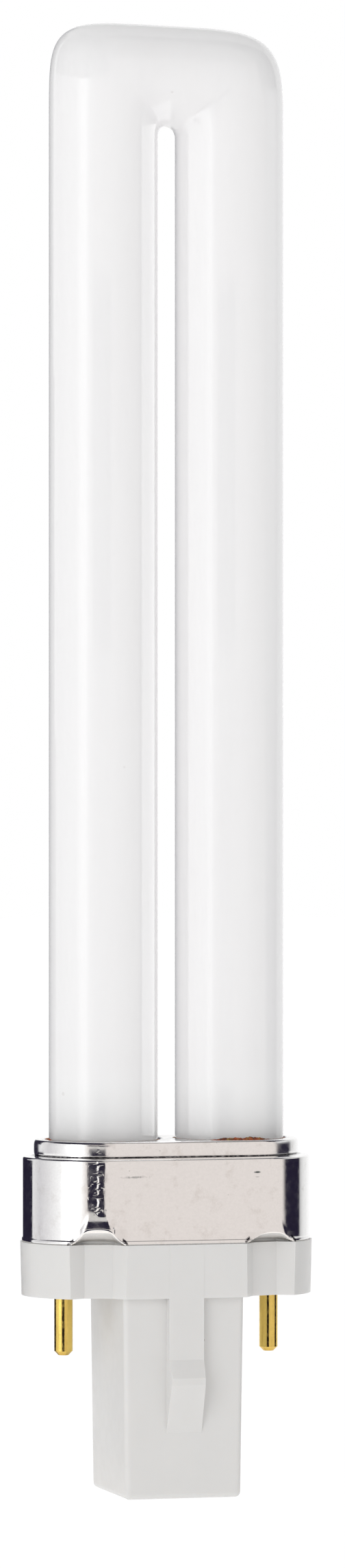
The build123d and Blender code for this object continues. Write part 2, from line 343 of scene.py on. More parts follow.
def lip_outline():
    """Barrel of the lip, from where it tucks in above the ledge to the flat top."""
    turns = np.linspace(LIP_TUCK, math.pi / 2, LIP_RINGS)
    power = 2 / np.where(turns > 0, LIP_SQUARENESS["top"], LIP_SQUARENESS["foot"])
    out = lip_radius - LIP_ROUNDING * (1 - np.abs(np.cos(turns)) ** power)
    up = collar_top - LIP_HEIGHT / 2 * (1 - np.sign(np.sin(turns)) * np.abs(np.sin(turns)) ** power)
    return list(zip(out, up))


def collar_profile():
    """Distance out and height up the collar's outer skin, from its hem to the flat top."""
    hem_top = collar_foot + HEM_HEIGHT
    hem_radius = collar_radius + HEM_STEP
    slope = math.degrees(math.atan2(LEDGE_DROP, LEDGE_WIDTH))
    wall_top = ledge_z - EDGE_RADIUS * math.tan(math.radians(90 - slope) / 2)
    crimped_top = collar_foot + CRIMPED_WALL_HEIGHT
    crimped_z = np.linspace(hem_top + 2 * HEM_STEP, crimped_top, CRIMPED_WALL_RINGS)
    plain_z = np.linspace(crimped_top, wall_top - PLAIN_WALL_END_GAP, PLAIN_WALL_RINGS + 1)[1:]
    hem = [(hem_radius, collar_foot), (hem_radius, collar_foot + HEM_HEIGHT / 2)]
    step = [(collar_radius + HEM_STEP * share, hem_top + HEM_STEP * (1 - share)) for share in HEM_STEP_SHARES]
    wall = [(collar_radius, z) for z in (*crimped_z, *plain_z)]
    shoulder = arc((collar_radius - EDGE_RADIUS, wall_top), EDGE_RADIUS, 0, 90 - slope, EDGE_RINGS)
    lip = lip_outline()
    (out, up), (lip_out, lip_up) = shoulder[-1], lip[0]
    ledge = [(out + share * (lip_out - out), up + share * (lip_up - up)) for share in LEDGE_RING_SHARES]
    return hem + step + wall + shoulder + ledge + lip


def at_crimp(points, corner):
    """Outward direction of a crimp, and how far points reach along it and to its side."""
    along_x, along_y = corner
    outward = np.array((along_x * math.cos(NOTCH_ANGLE), along_y * math.sin(NOTCH_ANGLE), 0))
    sideways = np.array((-outward[1], outward[0], 0))
    from_centre = points - np.array((along_x * end_centre, 0, 0))
    return outward, from_centre @ outward, from_centre @ sideways


def press_crimps(points):
    """Pushes the skin in at the four notches, below a bulge of the pressed sheet."""
    for corner, (crimp_height, bulge_size, _) in CRIMPS.items():
        outward, reach, aside = at_crimp(points, corner)
        aside = np.abs(aside)
        height = points[..., 2] - collar_foot
        rise = np.minimum(height / crimp_height, 1)
        lift = np.clip((crimp_height + BULGE_HEIGHT - height) / BULGE_HEIGHT, 0, 1) ** BULGE_CURVE
        bulge_edge = BULGE_HALF_WIDTH + BULGE_FLARE * lift
        bulge = bulge_size * lift * smooth((bulge_edge + BULGE_SOFTNESS - aside) / BULGE_SOFTNESS)
        on_this_side = reach > 0
        points = points + np.where(on_this_side, bulge, 0)[..., None] * outward
        reach = reach + bulge
        floor = collar_radius + bulge_size - (NOTCH_DEPTH + bulge_size) * (1 - rise) ** CRIMP_FOLD
        beyond = aside - (CRIMP_HALF_WIDTH - CRIMP_TAPER * rise)
        limit = floor + (beyond + np.hypot(beyond, CRIMP_CORNER)) / 2 / math.tan(CRIMP_FLANK)
        pressed = soft_minimum(reach, limit, CRIMP_SOFTNESS)
        shift = np.where(on_this_side & (rise < 1), np.minimum(pressed - reach, 0), 0)
        points = points + shift[..., None] * outward
        points[..., 2] -= CRIMP_RIM_RISE * shift / NOTCH_DEPTH * (1 - rise)
    return points


def close_top(mesh):
    """Fills the collar's flat top between its lip and the two holes for the glass."""
    shape = bmesh.new()
    shape.from_mesh(mesh)
    rim_z = (collar_top - RIM_TOLERANCE) * MM
    edges = [edge for edge in shape.edges if edge.is_boundary and edge.verts[0].co.z > rim_z]
    hole_radius = leg_radius + GLASS_HOLE_CLEARANCE
    for side in SIDES:
        _, hole_edges = closed_loop(shape, circle(side * leg_x, hole_radius, GLASS_HOLE_POINTS, collar_top))
        edges += hole_edges
    bmesh.ops.triangle_fill(shape, edges=edges, use_beauty=True)
    bmesh.ops.recalc_face_normals(shape, faces=shape.faces)
    shape.to_mesh(mesh)
    shape.free()
    mesh.shade_smooth()


def mark_crimping(mesh):
    """Keeps on the mesh how buckled and pressed the sheet is about each crimp, and where shade is painted
    along the end of its flanks.
    """
    places = np.array([vertex.co for vertex in mesh.vertices]) / MM
    buckle, pressed, crease_shade = (np.zeros(len(places)) for _ in range(3))
    off_axis = np.full(len(places), FAR_AWAY)
    height = places[:, 2] - collar_foot
    for corner, (crimp_height, _, amount) in CRIMPS.items():
        _, reach, aside = at_crimp(places, corner)
        on_this_side = reach > 0
        near = np.exp(-(aside / BUCKLE_HALF_WIDTH) ** 2) * on_this_side
        off_axis = np.where(near > BUCKLE_EDGE, aside, off_axis)
        buckle = np.maximum(buckle, amount * near)
        within = np.exp(-(aside / PRESSED_HALF_WIDTH) ** PRESSED_FALLOFF) * (height < crimp_height)
        depth = np.clip((collar_radius - PRESSED_START - reach) / PRESSED_FULL_DEPTH, 0, 1)
        pressed = np.maximum(pressed, within * depth * on_this_side)
        # Painted shade: a dark diagonal line at the outer end of each crimp's flank, where the fold falls in
        # shade.
        along = (CREASE_FOOT - np.abs(aside)) / (CREASE_FOOT - CREASE_TOP)
        off_line = np.where(on_this_side, np.abs(height - along * CREASE_HEIGHT - CREASE_LIFT), FAR_AWAY)
        on_line = smooth((CREASE_WIDTH - off_line) / CREASE_SOFTNESS) * (along > 0) * (along < 1)
        crease_shade = np.maximum(crease_shade, on_line)
    rise = height / (collar_top - collar_foot)
    buckle *= np.clip((BUCKLE_TOP_SHARE - rise) / BUCKLE_TOP_FADE, 0, 1)
    buckle *= smooth((height - BUCKLE_FOOT) / BUCKLE_FADE)
    buckle *= np.where(places[:, 2] > ledge_z, LIP_BUCKLE, 1)
    kept = {"buckle": buckle, "aside": off_axis, "pressed": pressed, "crease_shade": crease_shade}
    for name, values in kept.items():
        mesh.attributes.new(name, "FLOAT", "POINT").data.foreach_set("value", values)


def make_collar():
    """Drawn sheet shell with its hem, four crimps, ledge, lip and flat top."""
    middles, outwards = stadium(COLLAR_AROUND)
    rings = np.array([middles + outwards * out + np.array((0, 0, up)) for out, up in collar_profile()])
    points = press_crimps(rings).reshape(-1, 3)
    mesh = smooth_mesh("pressed_collar", points, ring_faces(len(rings), COLLAR_AROUND))
    close_top(mesh)
    mark_crimping(mesh)
    collar = new_piece(mesh, polished_aluminium())
    sheet = collar.modifiers.new("sheet", "SOLIDIFY")
    sheet.thickness = SHEET * MM
    sheet.offset = -1
    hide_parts("collar")


# Cement


def ragged(share):
    """Uneven height along a bead, from a few waves that don't repeat over its length."""
    return 1 + sum(size * np.sin(turns * share + start) for turns, start, size in BEAD_WAVES)


def make_cement_plug(cement):
    """Cement inside the lip, round both legs, with a low ring that fills the gap about each."""
    inset = SHEET + CEMENT_GAP
    plug_top = collar_top - inset
    plug_step = ledge_z - 2 * inset
    plug_foot = collar_top - SHEET - CEMENT_DEPTH
    gap_radius = leg_radius + GLASS_HOLE_CLEARANCE - CEMENT_GAP
    bore_radius = leg_radius - CEMENT_GAP
    outside = (
        (lip_radius - inset, plug_top),
        (lip_radius - inset, plug_step),
        (collar_radius - inset, plug_step),
        (collar_radius - inset, plug_foot),
    )
    bore = (
        (gap_radius, plug_top),
        (gap_radius, collar_top - 2 * CEMENT_GAP),
        (bore_radius, collar_top),
        (bore_radius, plug_foot),
    )
    middles, outwards = stadium(PLUG_AROUND)
    walls = [[middles + outwards * radius + np.array((0, 0, z)) for radius, z in outside]]
    for side in SIDES:
        walls.append([circle(side * leg_x, radius, PLUG_AROUND, z) for radius, z in bore])

    shape = bmesh.new()
    top_edges, foot_edges = [], []
    for wall in walls:
        loops = [closed_loop(shape, points) for points in wall]
        for (upper, _), (lower, _) in zip(loops, loops[1:]):
            for (a, b), (d, c) in zip(closed_pairs(upper), closed_pairs(lower)):
                shape.faces.new((a, b, c, d))
        top_edges += loops[0][1]
        foot_edges += loops[-1][1]
    bmesh.ops.triangle_fill(shape, edges=top_edges, use_beauty=True)
    bmesh.ops.triangle_fill(shape, edges=foot_edges, use_beauty=True)
    bmesh.ops.recalc_face_normals(shape, faces=shape.faces)
    mesh = bpy.data.meshes.new("cement_plug")
    shape.to_mesh(mesh)
    shape.free()
    mesh.shade_smooth()
    mesh.set_sharp_from_angle(angle=PLUG_SHARP_ANGLE)
    plug = new_piece(mesh, cement)
    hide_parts("basing_cement")


def make_bead(side, cement):
    """Ragged bead of cement squeezed out along part of a leg's foot."""
    (start, end), out, up = BEADS[side]
    share = np.linspace(0, 1, BEAD_POINTS)
    swell = np.sin(np.pi * np.clip(share, BEAD_END_SHARE, 1 - BEAD_END_SHARE)) ** BEAD_SWELL
    outs = out * swell * ragged(share + side)
    ups = up * swell * ragged(BEAD_RISE_STRETCH * share - side)
    angles = np.radians(np.linspace(start, end, BEAD_POINTS))
    section = np.linspace(0, np.pi / 2, BEAD_SECTION_POINTS - 1)
    root_radius, root_z = leg_radius - BEAD_ROOT, collar_top - BEAD_ROOT
    rings = []
    for angle, bead_out, bead_up in zip(angles, outs, ups):
        reach = np.append(root_radius + (bead_out + BEAD_ROOT) * np.cos(section), root_radius)
        rise = np.append(root_z + (bead_up + BEAD_ROOT) * np.sin(section), root_z)
        x, y = side * leg_x + reach * math.cos(angle), reach * math.sin(angle)
        rings.append(np.stack([x, y, rise], axis=1))
    name = "cement_bead_left" if side < 0 else "cement_bead_right"
    new_piece(smooth_mesh(name, *capped_skin(rings)), cement)


# Shader nodes


def add(tree, kind, links=None, **settings):
    """A node with its settings. Each link is a plain value for an input, or an output that feeds it."""
    node = tree.nodes.new(kind)
    for name, value in settings.items():
        setattr(node, name, value)
    for key, value in (links or {}).items():
        if isinstance(value, bpy.types.NodeSocket):
            tree.links.new(value, node.inputs[key])
        else:
            node.inputs[key].default_value = value
    return node


def calc(tree, operation, *values):
    """Output of a Math node."""
    return add(tree, "ShaderNodeMath", dict(enumerate(values)), operation=operation).outputs[0]


def blend(tree, share, first, second):
    """Colour between two, by a share."""
    links = {0: share, 6: first, 7: second}
    return add(tree, "ShaderNodeMix", links, data_type="RGBA").outputs[2]


def tinted(tree, tone, colour):
    """A colour made darker or lighter by a tone."""
    links = {0: 1, 6: colour, 7: tone}
    return add(tree, "ShaderNodeMix", links, data_type="RGBA", blend_type="MULTIPLY").outputs[2]


def strongest(tree, *masks):
    """Greatest of several masks, each given with its strength."""
    greatest = 0
    for mask, strength in masks:
        greatest = calc(tree, "MAXIMUM", greatest, calc(tree, "MULTIPLY", mask, strength))
    return greatest


def ease(tree, value, low, high, to_low=0, to_high=1):
    """Smooth step of a value between two marks."""
    links = {"Value": value, "From Min": low, "From Max": high, "To Min": to_low, "To Max": to_high}
    return add(tree, "ShaderNodeMapRange", links, interpolation_type="SMOOTHSTEP").outputs["Result"]


def split(tree, vector):
    """X, Y and Z of a vector."""
    return add(tree, "ShaderNodeSeparateXYZ", {0: vector}).outputs


def surface_mm(tree):
    """Place on the surface in millimetres."""
    where = add(tree, "ShaderNodeTexCoord").outputs["Object"]
    return add(tree, "ShaderNodeVectorMath", {0: where, 1: (1 / MM,) * 3}, operation="MULTIPLY").outputs[0]


def stretched_mm(tree, across, along):
    """Place on the surface in millimetres, scaled across and along the lamp."""
    parts = split(tree, surface_mm(tree))
    factors = {"X": across, "Y": across, "Z": along}
    scaled = {axis: calc(tree, "MULTIPLY", parts[axis], factor) for axis, factor in factors.items()}
    return add(tree, "ShaderNodeCombineXYZ", scaled).outputs[0]


def height_z(tree):
    """Height of a place on the surface in millimetres."""
    return split(tree, surface_mm(tree))["Z"]


def noise(tree, where, scale, detail=2, roughness=0.5):
    """Cloudy value about 0.5."""
    links = {"Vector": where, "Scale": scale, "Detail": detail, "Roughness": roughness}
    return add(tree, "ShaderNodeTexNoise", links).outputs["Fac"]


# Effects that several finishes share


def new_group(name, inputs, output, kind="NodeSocketFloat"):
    """An empty shader group with number inputs and one output, and the sockets of its two end nodes."""
    group = bpy.data.node_groups.new(name, "ShaderNodeTree")
    for label, value in inputs.items():
        socket = group.interface.new_socket(label, in_out="INPUT", socket_type="NodeSocketFloat")
        socket.default_value = value
    group.interface.new_socket(output, in_out="OUTPUT", socket_type=kind)
    return group, group.nodes.new("NodeGroupInput").outputs, group.nodes.new("NodeGroupOutput").inputs[output]


def mottle_group():
    """Soft cloudy tone about 1, with its patches drawn out along the lamp."""
    group, given, tone = new_group("soft_mottle", {"Scale": 0.2, "Along": 0.5, "Amount": 0.02}, "Tone")
    cloud = noise(group, stretched_mm(group, 1, given["Along"]), given["Scale"], detail=4, roughness=0.6)
    full_swing = calc(group, "MULTIPLY", given["Amount"], 2)
    swing = calc(group, "MULTIPLY", calc(group, "SUBTRACT", cloud, 0.5), full_swing)
    group.links.new(calc(group, "ADD", swing, 1), tone)
    return group


def patches_group():
    """Cloudy patches, where a noise is eased between two marks and put out between two levels."""
    inputs = {"Scale": 1, "Detail": 2, "Grain": 0.5, "Across": 1, "Along": 1}
    inputs |= {"From": 0.3, "To": 0.7, "Low": 0, "High": 1}
    group, given, level = new_group("cloudy_patches", inputs, "Level")
    where = stretched_mm(group, given["Across"], given["Along"])
    cloud = noise(group, where, given["Scale"], given["Detail"], given["Grain"])
    group.links.new(ease(group, cloud, given["From"], given["To"], given["Low"], given["High"]), level)
    return group


SPECK_CORE = 0.4


def specks_group():
    """Mask of small scattered specks."""
    group, given, mask = new_group("stray_specks", {"Scale": 0.6, "Share": 0.05, "Size": 0.15}, "Mask")
    links = {"Vector": surface_mm(group), "Scale": given["Scale"]}
    cells = add(group, "ShaderNodeTexVoronoi", links, feature="F1").outputs
    pick = add(group, "ShaderNodeSeparateColor", {0: cells["Color"]}).outputs["Red"]
    chosen = calc(group, "LESS_THAN", pick, given["Share"])
    core = calc(group, "MULTIPLY", given["Size"], SPECK_CORE)
    spot = ease(group, cells["Distance"], given["Size"], core)
    group.links.new(calc(group, "MULTIPLY", chosen, spot), mask)
    return group


def relief_group():
    """Normal of a fine uneven surface."""
    inputs = {"Scale": 3, "Depth": 0.002}
    group, given, normal = new_group("fine_relief", inputs, "Normal", "NodeSocketVector")
    height = noise(group, surface_mm(group), given["Scale"], detail=3, roughness=0.55)
    depth = calc(group, "MULTIPLY", given["Depth"], MM)
    bump = add(group, "ShaderNodeBump", {"Strength": 1, "Distance": depth, "Height": height})
    group.links.new(bump.outputs["Normal"], normal)
    return group


MARK_GRAIN = 3
MARK_EDGE = (1.25, 0.6)


def mark_group():
    """Mask of one ragged mark on the front, by its place and half sizes in millimetres."""
    inputs = {"X": 0, "Z": 0, "Half Width": 1, "Half Height": 0.1, "Ragged": 0.5}
    group, given, mask = new_group("front_mark", inputs, "Mask")
    where = surface_mm(group)
    parts = split(group, where)
    across = calc(group, "DIVIDE", calc(group, "SUBTRACT", parts["X"], given["X"]), given["Half Width"])
    up = calc(group, "DIVIDE", calc(group, "SUBTRACT", parts["Z"], given["Z"]), given["Half Height"])
    squares = calc(group, "ADD", calc(group, "POWER", across, 2), calc(group, "POWER", up, 2))
    rough = calc(group, "MULTIPLY", noise(group, where, MARK_GRAIN, detail=3), given["Ragged"])
    spot = ease(group, calc(group, "ADD", calc(group, "SQRT", squares), rough), *MARK_EDGE)
    front = calc(group, "LESS_THAN", parts["Y"], 0)
    group.links.new(calc(group, "MULTIPLY", spot, front), mask)
    return group


MOTTLE, PATCHES, SPECKS = mottle_group(), patches_group(), specks_group()
RELIEF, MARK = relief_group(), mark_group()


# Finishes. In the calls below, words in the name of an input are joined by an underscore.


def set_plain(node, **values):
    """Plain values on a node's own inputs."""
    for label, value in values.items():
        node.inputs[label.replace("_", " ")].default_value = value


def feed(tree, shader, **outputs):
    """Links outputs to the shader's inputs."""
    for label, output in outputs.items():
        tree.links.new(output, shader.inputs[label.replace("_", " ")])


def effect(tree, group, **values):
    """Output of a shared effect, with its own values."""
    node = add(tree, "ShaderNodeGroup", node_tree=group)
    set_plain(node, **values)
    return node.outputs[0]


def new_material(name):
    """A material with its node tree and its Principled shader."""
    material = bpy.data.materials.new(name)
    material.use_nodes = True
    return material, material.node_tree, material.node_tree.nodes["Principled BSDF"]


OPAL_WHITE = (0.879, 0.869, 0.874, 1)
# Painted light: a paler colour near the feet, over the heights below, offsets the shade near the collar.
OPAL_FOOT_PAINTED_LIGHT = (0.985, 0.98, 0.984, 1)
OPAL_SPECK = (0.55, 0.52, 0.5, 1)
OPAL_SPECK_STRENGTH = 0.35
OPAL_SCATTER = 14
FOOT_PAINTED_LIGHT_FADE = (26, 19)


def opal_glass():
    """White coat seen through clear glass, painted lighter towards the feet to offset the shade near the
    collar.
    """
    material, tree, shader = new_material("opal_glass")
    # Painted light towards the feet, against the collar's shade.
    foot_light_share = ease(tree, height_z(tree), *FOOT_PAINTED_LIGHT_FADE)
    colour = blend(tree, foot_light_share, OPAL_WHITE, OPAL_FOOT_PAINTED_LIGHT)
    colour = tinted(tree, effect(tree, MOTTLE, Scale=0.25, Along=0.12, Amount=0.03), colour)
    specks = effect(tree, SPECKS, Scale=0.16, Share=0.05, Size=0.05)
    bridge_mark = effect(tree, MARK, X=-0.8, Z=129.5, Half_Width=0.35, Half_Height=0.22, Ragged=1)
    side_mark = effect(tree, MARK, X=-13, Z=130.7, Half_Width=0.2, Half_Height=0.2, Ragged=1)
    marks = strongest(tree, *((mask, OPAL_SPECK_STRENGTH) for mask in (specks, bridge_mark, side_mark)))
    colour = blend(tree, marks, colour, OPAL_SPECK)
    rough = effect(tree, PATCHES, Scale=0.5, Low=0.03, High=0.09)
    feed(tree, shader, Base_Color=colour, Roughness=rough)
    set_plain(shader, IOR=1.5, Subsurface_Weight=1, Subsurface_Radius=(1, 1, 1))
    set_plain(shader, Subsurface_Scale=OPAL_SCATTER * MM)
    return material


ALUMINIUM = (0.93, 0.925, 0.92, 1)
ALUMINIUM_STAIN = (0.62, 0.58, 0.54, 1)
ALUMINIUM_PRESSED = (0.72, 0.7, 0.68, 1)
PRESSED_TINT = 0.8
PRESSED_DULLNESS = 0.28
SCRATCH = (0.1, 0.12, 0.12, 1)
# Dark colour of the painted shade at the crimps' flank ends and in the groove under the lip
PAINTED_SHADE_DARK = (0.02, 0.018, 0.025, 1)
# Heights above the lip's foot between which the painted shade in the groove under it starts and ends
GROOVE_START = (0, 0.05)
GROOVE_END = (0.17, 0.08)
LIP_DULLNESS = 0.06
LIP_DULL_FADE = (ledge_z - 0.2, ledge_z + 0.4)
STEP_HEIGHT = 0.05
STEP_HALF_WIDTH = 0.17
STEP_WANDER = 0.6
FOLD_HEIGHT = 0.025
DIMPLE_HEIGHT = 0.005


def kept_on_mesh(tree, name):
    """Value that was kept on the mesh under a name."""
    return add(tree, "ShaderNodeAttribute", attribute_name=name).outputs["Fac"]


def aluminium_colour(tree):
    """Bright sheet with stains and scratches, duller where pressed, with painted shade along the crimps'
    flank ends and in the groove under the lip.
    """
    stain = effect(tree, PATCHES, Scale=0.55, Detail=5, Grain=0.65, From=0.52, To=0.72, High=0.3)
    colour = blend(tree, stain, ALUMINIUM, ALUMINIUM_STAIN)
    colour = tinted(tree, effect(tree, MOTTLE, Scale=4, Along=1, Amount=0.06), colour)
    specks = effect(tree, SPECKS, Scale=1.1, Share=0.12, Size=0.1)
    scratch = effect(tree, MARK, X=-5.7, Z=13.05, Half_Width=3, Half_Height=0.3, Ragged=1.3)
    dash = effect(tree, MARK, X=7.9, Z=13.4, Half_Width=0.5, Half_Height=0.14, Ragged=0.5)
    faint_dash = effect(tree, MARK, X=7.9, Z=12.9, Half_Width=0.35, Half_Height=0.08, Ragged=0.6)
    marks = strongest(tree, (dash, 1), (scratch, 0.6), (faint_dash, 0.35), (specks, 0.3))
    colour = blend(tree, marks, colour, SCRATCH)
    pressed = calc(tree, "MULTIPLY", kept_on_mesh(tree, "pressed"), PRESSED_TINT)
    colour = blend(tree, pressed, colour, ALUMINIUM_PRESSED)
    # Painted shade in the groove under the lip, broken up in patches.
    above_foot = calc(tree, "SUBTRACT", height_z(tree), lip_foot_z)
    groove_start, groove_end = (ease(tree, above_foot, *marks) for marks in (GROOVE_START, GROOVE_END))
    groove = calc(tree, "MULTIPLY", groove_start, groove_end)
    groove_shade_breakup = effect(tree, PATCHES, Scale=2.4, Detail=3, To=0.6, Low=0.6)
    groove_shade = calc(tree, "MULTIPLY", groove, groove_shade_breakup)
    # Painted shade of the flank-end lines and of the groove.
    dark = calc(tree, "MAXIMUM", kept_on_mesh(tree, "crease_shade"), groove_shade)
    return blend(tree, dark, colour, PAINTED_SHADE_DARK)


def aluminium_roughness(tree):
    """Polish that is a little uneven, and duller on the lip and where the sheet is pressed."""
    rough = effect(tree, PATCHES, Scale=1.5, Detail=4, From=0.35, Low=0.07, High=0.14)
    pressed = calc(tree, "MULTIPLY", kept_on_mesh(tree, "pressed"), PRESSED_DULLNESS)
    lip = ease(tree, height_z(tree), *LIP_DULL_FADE, 0, LIP_DULLNESS)
    return calc(tree, "ADD", calc(tree, "ADD", rough, pressed), lip)


def buckle_normal(tree):
    """Relief of the buckled sheet above a crimp: a wandering step, with folds and dimples about it."""
    wander = calc(tree, "SUBTRACT", noise(tree, stretched_mm(tree, 0, 1), 0.9, detail=3), 0.5)
    from_step = calc(tree, "ADD", kept_on_mesh(tree, "aside"), calc(tree, "MULTIPLY", wander, STEP_WANDER))
    crispness = effect(tree, PATCHES, Scale=1.3, Detail=1, Across=0, From=0.42, To=0.52, Low=0.25)
    from_step = calc(tree, "MULTIPLY", from_step, crispness)
    step = ease(tree, from_step, -STEP_HALF_WIDTH, STEP_HALF_WIDTH, 0, STEP_HEIGHT)
    folds = calc(tree, "MULTIPLY", noise(tree, stretched_mm(tree, 1, 0.45), 1.1, detail=1.5), FOLD_HEIGHT)
    dimples = effect(tree, PATCHES, Scale=1.8, Detail=1, From=0.6, To=0.75, High=DIMPLE_HEIGHT)
    relief = calc(tree, "ADD", step, calc(tree, "ADD", folds, dimples))
    height = calc(tree, "MULTIPLY", relief, kept_on_mesh(tree, "buckle"))
    return add(tree, "ShaderNodeBump", {"Strength": 1, "Distance": MM, "Height": height}).outputs["Normal"]


def polished_aluminium():
    """Mirror sheet with a fine tarnish, a few scratches, and buckles above the crimps."""
    material, tree, shader = new_material("polished_aluminium")
    feed(tree, shader, Base_Color=aluminium_colour(tree), Roughness=aluminium_roughness(tree))
    feed(tree, shader, Normal=buckle_normal(tree))
    set_plain(shader, Metallic=1)
    return material


PLASTIC = (0.765, 0.757, 0.744, 1)
PLASTIC_DARK = (0.5, 0.47, 0.43, 1)
PLASTIC_SCATTER = 0.8


def cap_plastic():
    """Off-white moulding with a satin skin and a few dark grains."""
    material, tree, shader = new_material("cap_plastic")
    colour = tinted(tree, effect(tree, MOTTLE, Scale=0.3, Along=0.7, Amount=0.025), PLASTIC)
    specks = effect(tree, SPECKS, Scale=0.35, Share=0.08, Size=0.06)
    grain = effect(tree, MARK, X=2.2, Z=-4.6, Half_Width=0.14, Half_Height=0.2, Ragged=0.8)
    colour = blend(tree, strongest(tree, (grain, 1), (specks, 0.5)), colour, PLASTIC_DARK)
    rough = effect(tree, PATCHES, Scale=0.8, Detail=4, Low=0.32, High=0.46)
    feed(tree, shader, Base_Color=colour, Roughness=rough)
    feed(tree, shader, Normal=effect(tree, RELIEF, Scale=2.2, Depth=0.006))
    set_plain(shader, Subsurface_Weight=0.25, Subsurface_Radius=(1, 0.9, 0.8))
    set_plain(shader, Subsurface_Scale=PLASTIC_SCATTER * MM)
    return material


BRASS = (0.88, 0.64, 0.17, 1)
BRASS_DULL = (0.55, 0.36, 0.08, 1)
BRASS_DULLNESS = 0.6
PIN_TIP = (-5.9, -6.3)


def pin_brass():
    """Drawn brass, bright along the shank and duller in streaks and at the tip."""
    material, tree, shader = new_material("pin_brass")
    streak = effect(tree, PATCHES, Scale=3, Detail=4, Along=0.12, From=0.45, To=0.75, High=BRASS_DULLNESS)
    tip = ease(tree, height_z(tree), *PIN_TIP, 0, BRASS_DULLNESS)
    colour = blend(tree, calc(tree, "MAXIMUM", streak, tip), BRASS, BRASS_DULL)
    colour = tinted(tree, effect(tree, MOTTLE, Scale=2.5, Along=1, Amount=0.12), colour)
    rough = effect(tree, PATCHES, Scale=2, Low=0.1, High=0.24)
    feed(tree, shader, Base_Color=colour, Roughness=rough)
    feed(tree, shader, Normal=effect(tree, RELIEF, Scale=4, Depth=0.004))
    set_plain(shader, Metallic=1)
    return material


CEMENT_DARK = (0.045, 0.012, 0.006, 1)
CEMENT_RED = (0.4, 0.075, 0.012, 1)
CEMENT_OLIVE = (0.4, 0.29, 0.06, 1)


def basing_cement():
    """Baked cement: brown-black, with red and olive patches."""
    material, tree, shader = new_material("basing_cement")
    red_share = effect(tree, PATCHES, Scale=1.1, Detail=4, Grain=0.7, From=0.4, To=0.62)
    olive_share = effect(tree, PATCHES, Scale=2.1, Detail=3, Along=2, From=0.5, To=0.68)
    colour = blend(tree, red_share, CEMENT_DARK, CEMENT_RED)
    colour = blend(tree, olive_share, colour, CEMENT_OLIVE)
    colour = tinted(tree, effect(tree, MOTTLE, Scale=5, Along=1, Amount=0.4), colour)
    rough = effect(tree, PATCHES, Scale=3, Low=0.5, High=0.8)
    feed(tree, shader, Base_Color=colour, Roughness=rough)
    feed(tree, shader, Normal=effect(tree, RELIEF, Scale=5, Depth=0.06))
    return material


STARTER_GLASS = (0.72, 0.77, 0.77, 1)
GETTER_GREY = (0.42, 0.42, 0.44, 1)


def starter_glass():
    """Grey glass bottle with a clouded getter patch."""
    material, tree, shader = new_material("starter_glass")
    cloud = effect(tree, PATCHES, Scale=0.35, From=0.45, To=0.65)
    colour = blend(tree, cloud, STARTER_GLASS, GETTER_GREY)
    colour = tinted(tree, effect(tree, MOTTLE, Scale=1, Along=1, Amount=0.05), colour)
    feed(tree, shader, Base_Color=colour)
    set_plain(shader, Roughness=0.08)
    return material


RESIN = (0.5, 0.2, 0.06, 1)
RESIN_DARK = (0.25, 0.09, 0.03, 1)


def capacitor_coat():
    """Dipped resin coat."""
    material, tree, shader = new_material("capacitor_coat")
    colour = tinted(tree, effect(tree, MOTTLE, Scale=0.9, Along=1, Amount=0.2), RESIN)
    specks = effect(tree, SPECKS, Scale=1.2, Share=0.15, Size=0.12)
    colour = blend(tree, specks, colour, RESIN_DARK)
    feed(tree, shader, Base_Color=colour, Normal=effect(tree, RELIEF, Scale=1.5, Depth=0.03))
    set_plain(shader, Roughness=0.3)
    return material


TINNED_WIRE = (0.7, 0.68, 0.64, 1)


def lead_wire():
    """Tinned wire with drawing lines."""
    material, tree, shader = new_material("lead_wire")
    colour = tinted(tree, effect(tree, MOTTLE, Scale=3, Along=0.3, Amount=0.12), TINNED_WIRE)
    feed(tree, shader, Base_Color=colour, Normal=effect(tree, RELIEF, Scale=6, Depth=0.004))
    set_plain(shader, Metallic=1, Roughness=0.3)
    return material


# Stage


def make_camera():
    """Level camera a little to the left of the lamp's front, with its lens set by the image's scale."""
    right = Vector((math.cos(CAMERA_YAW), -math.sin(CAMERA_YAW), 0))
    forward = Vector((math.sin(CAMERA_YAW), math.cos(CAMERA_YAW), 0))
    aside = (IMAGE_WIDTH / 2 - LAMP_AXIS_COLUMN) / PIXELS_PER_MM
    camera = place("camera", bpy.data.cameras.new("camera"))
    camera.data.sensor_width = SENSOR
    camera.data.lens = PIXELS_PER_MM * CAMERA_DISTANCE / IMAGE_HEIGHT * SENSOR
    camera.location = (right * aside - forward * CAMERA_DISTANCE + Vector((0, 0, CAMERA_HEIGHT))) * MM
    camera.rotation_euler = (math.pi / 2, 0, -CAMERA_YAW)
    bpy.context.scene.camera = camera


def seen_directly(tree):
    """1 for rays from the camera, a mirror or glass, and 0 for light on a matt surface."""
    path = add(tree, "ShaderNodeLightPath").outputs
    seen = calc(tree, "MAXIMUM", path["Is Camera Ray"], path["Is Glossy Ray"])
    return calc(tree, "MAXIMUM", seen, path["Is Transmission Ray"])


WHITE = (1, 1, 1, 1)
AMBIENT_FRONT = 0.56
AMBIENT_REAR = 1.5
REAR_FADE = (0.6, 0.95)
OVERHEAD_SHARE = 1.06
OVERHEAD_FADE = (0.1, 0.9)


